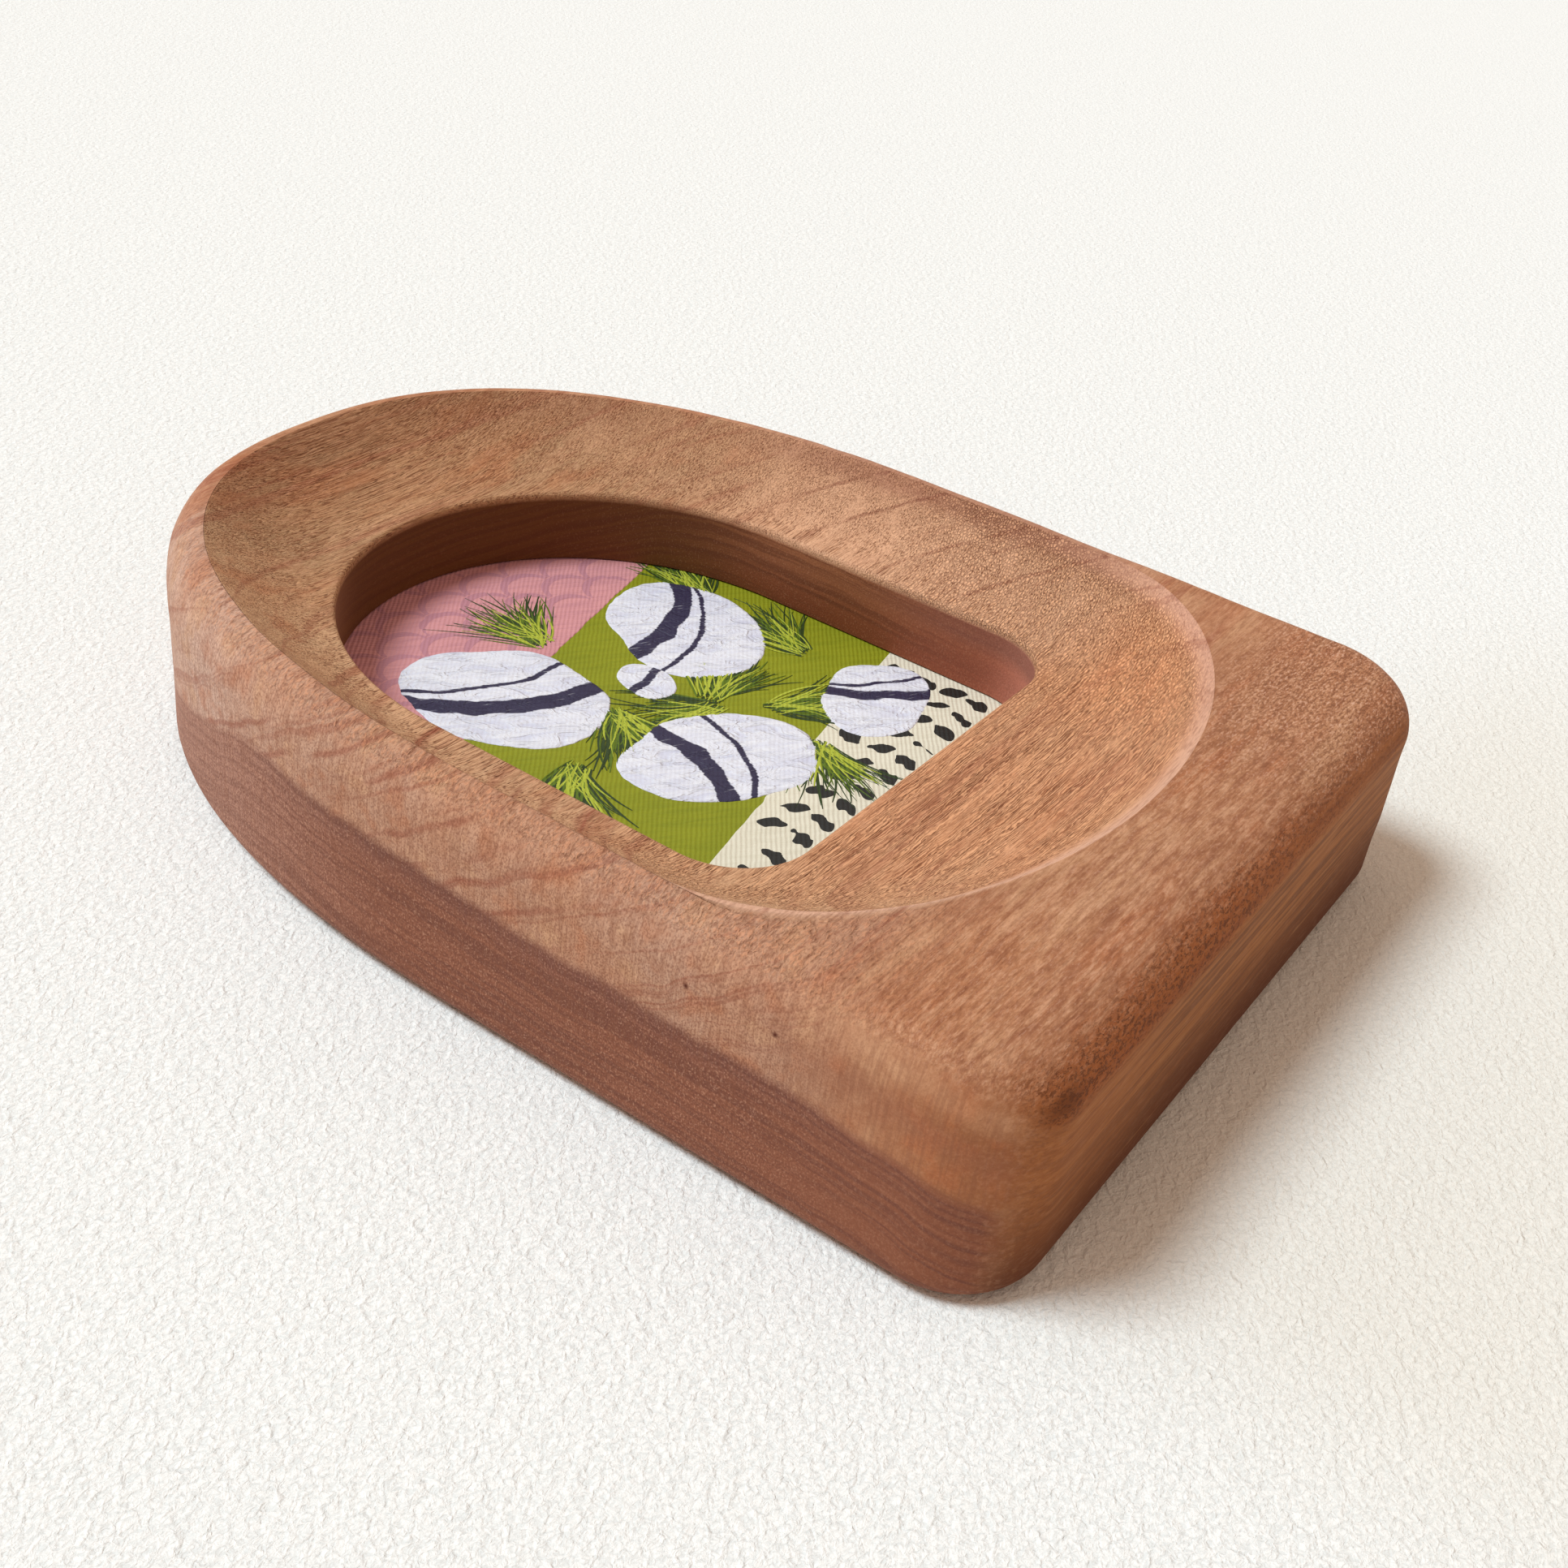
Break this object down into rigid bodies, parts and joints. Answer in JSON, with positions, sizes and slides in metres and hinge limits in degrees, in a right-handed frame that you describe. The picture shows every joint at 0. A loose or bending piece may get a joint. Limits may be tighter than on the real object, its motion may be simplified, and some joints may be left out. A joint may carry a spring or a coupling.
{
  "type": "picture frame",
  "caption": "Arched hardwood picture frame with a dished, ridged face, a deep window, a small abstract canvas, and a recessed back with turn buttons and a sawtooth hanger.",
  "frame": {"origin": "middle of the flat back, on the surface that the frame lies on", "axes": "+Z out of the front of the frame, +Y towards its arched head, +X to the right as the picture is looked at with its head up"},
  "size_m": [0.127, 0.176, 0.0345],
  "materials": {
    "oiled_wood": "oiled, open pores, matte",
    "painted_canvas": "acrylic on primed canvas",
    "panel_board": "raw board",
    "hardboard": "smooth hardboard",
    "brassed_steel": "brass plated steel",
    "zinc_steel": "zinc plated"
  },
  "bodies": {
    "frame": {"frame_body": "oiled_wood", "painted_canvas": "painted_canvas", "panel_board": "panel_board", "backing_board": "hardboard", "turn_button_screw_1": "zinc_steel", "turn_button_screw_2": "zinc_steel", "turn_button_screw_3": "zinc_steel", "turn_button_screw_4": "zinc_steel", "sawtooth_hanger": "zinc_steel", "hanger_nail_1": "zinc_steel", "hanger_nail_2": "zinc_steel"},
    "side_button_right": {"turn_button_1": "brassed_steel"},
    "side_button_left": {"turn_button_2": "brassed_steel"},
    "shoulder_button_right": {"turn_button_3": "brassed_steel"},
    "shoulder_button_left": {"turn_button_4": "brassed_steel"}
  },
  "joints": [
    {"name": "side_button_right_turn", "type": "hinge", "parent": "frame", "child": "side_button_right", "pos_m": [0.0508, -0.0128, 0.0035], "axis": [0, 0, 1], "range_deg": [-90, 90]},
    {"name": "side_button_left_turn", "type": "hinge", "parent": "frame", "child": "side_button_left", "pos_m": [-0.0508, -0.0128, 0.0035], "axis": [0, 0, 1], "range_deg": [-90, 90]},
    {"name": "shoulder_button_right_turn", "type": "hinge", "parent": "frame", "child": "shoulder_button_right", "pos_m": [0.03137, 0.0601, 0.0035], "axis": [0, 0, 1], "range_deg": [-90, 90]},
    {"name": "shoulder_button_left_turn", "type": "hinge", "parent": "frame", "child": "shoulder_button_left", "pos_m": [-0.03137, 0.0601, 0.0035], "axis": [0, 0, 1], "range_deg": [-90, 90]}
  ]
}
